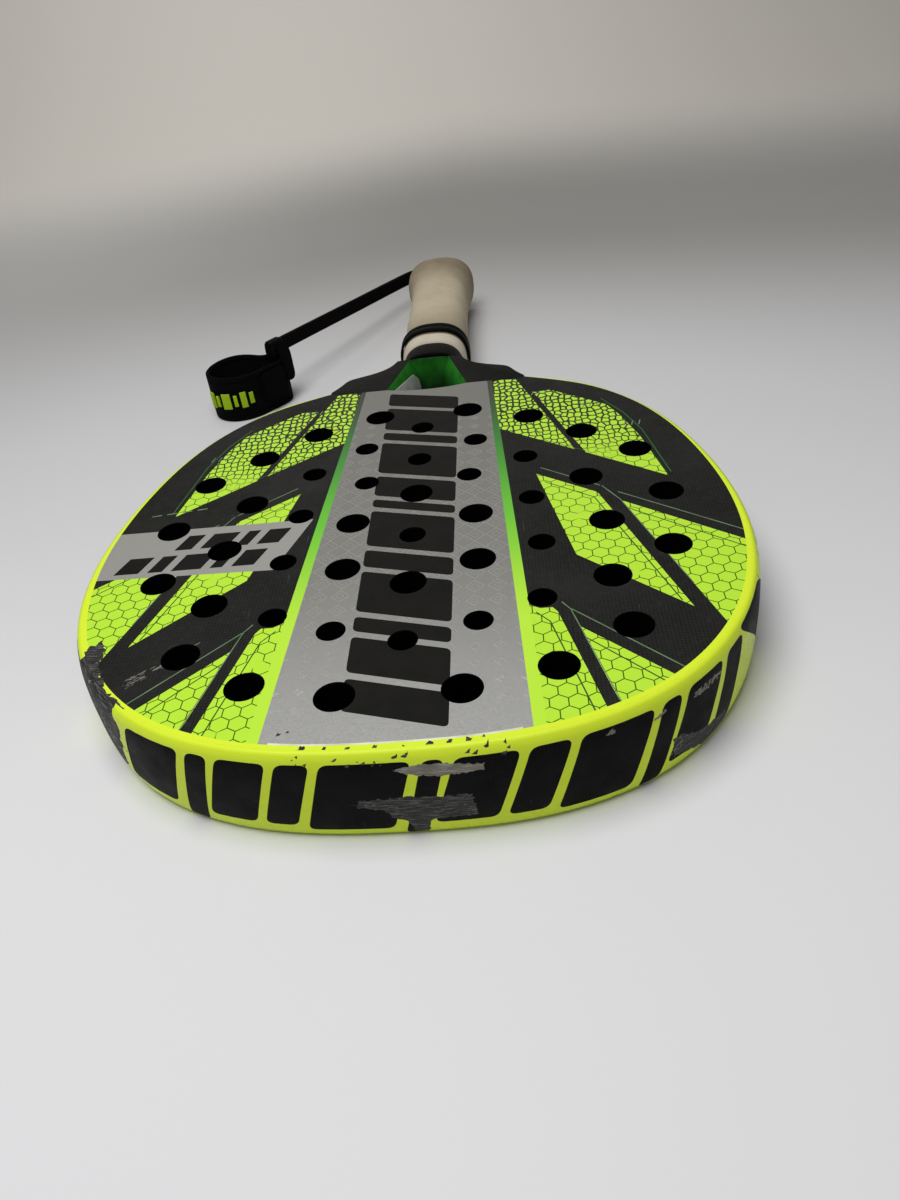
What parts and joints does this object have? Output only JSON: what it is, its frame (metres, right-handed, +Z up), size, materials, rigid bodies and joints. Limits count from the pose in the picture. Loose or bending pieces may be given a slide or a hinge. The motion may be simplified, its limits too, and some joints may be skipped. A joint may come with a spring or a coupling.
{
  "type": "padel racket",
  "caption": "Flat foam-cored racket with a perforated round head, open throat, wrapped handle and a wrist strap, lying face up.",
  "frame": {"origin": "under the middle of the racket's length and width, on the surface it lies on (the strap is not counted)", "axes": "+Y along the handle from the head's tip to the butt, +X to the right across the head, +Z up out of the front face"},
  "size_m": [0.2654, 0.4806, 0.038],
  "materials": {
    "frame_paint": "lime lacquer over carbon composite",
    "front_sheet": "lacquered carbon weave with lime, black and silver fields",
    "back_sheet": "lacquered carbon weave",
    "core": "closed-cell foam",
    "throat_paint": "green lacquer",
    "carbon": "satin carbon composite",
    "rubber": "matt",
    "cushion_grip": "soft synthetic leather",
    "overgrip": "worn tacky tape, off-white",
    "webbing": "woven nylon",
    "label": "printed lime marks"
  },
  "bodies": {
    "racket": {"frame_tube": "frame_paint", "face_front": "front_sheet", "face_back": "back_sheet", "core_foam": "core", "throat_bridge": "throat_paint", "throat_arm_right": "carbon", "throat_arm_left": "carbon", "handle_shell": "carbon", "handle_foam": "core", "neck_collar": "rubber", "base_grip": "cushion_grip", "overgrip": "overgrip", "butt_cap": "rubber", "strap_knot": "webbing", "wrist_strap": "webbing", "wristband": "webbing", "wristband_label": "label"},
    "grip_ring": {"rubber_ring": "rubber"},
    "slider": {"strap_slider": "webbing"},
    "band_tab": {"wristband_tab": "webbing"}
  },
  "joints": [
    {"name": "ring_slide", "type": "slide", "parent": "racket", "child": "grip_ring", "axis": [0, 1, 0], "range_m": [0, 0.03]},
    {"name": "strap_slider_slide", "type": "slide", "parent": "racket", "child": "slider", "axis": [0.4652, 0.8814, -0.0815], "range_m": [0, 0.06]},
    {"name": "tab_peel", "type": "hinge", "parent": "racket", "child": "band_tab", "pos_m": [-0.0904, 0.1016, 0.016], "axis": [0, 0, 1], "range_deg": [0, 75]}
  ]
}
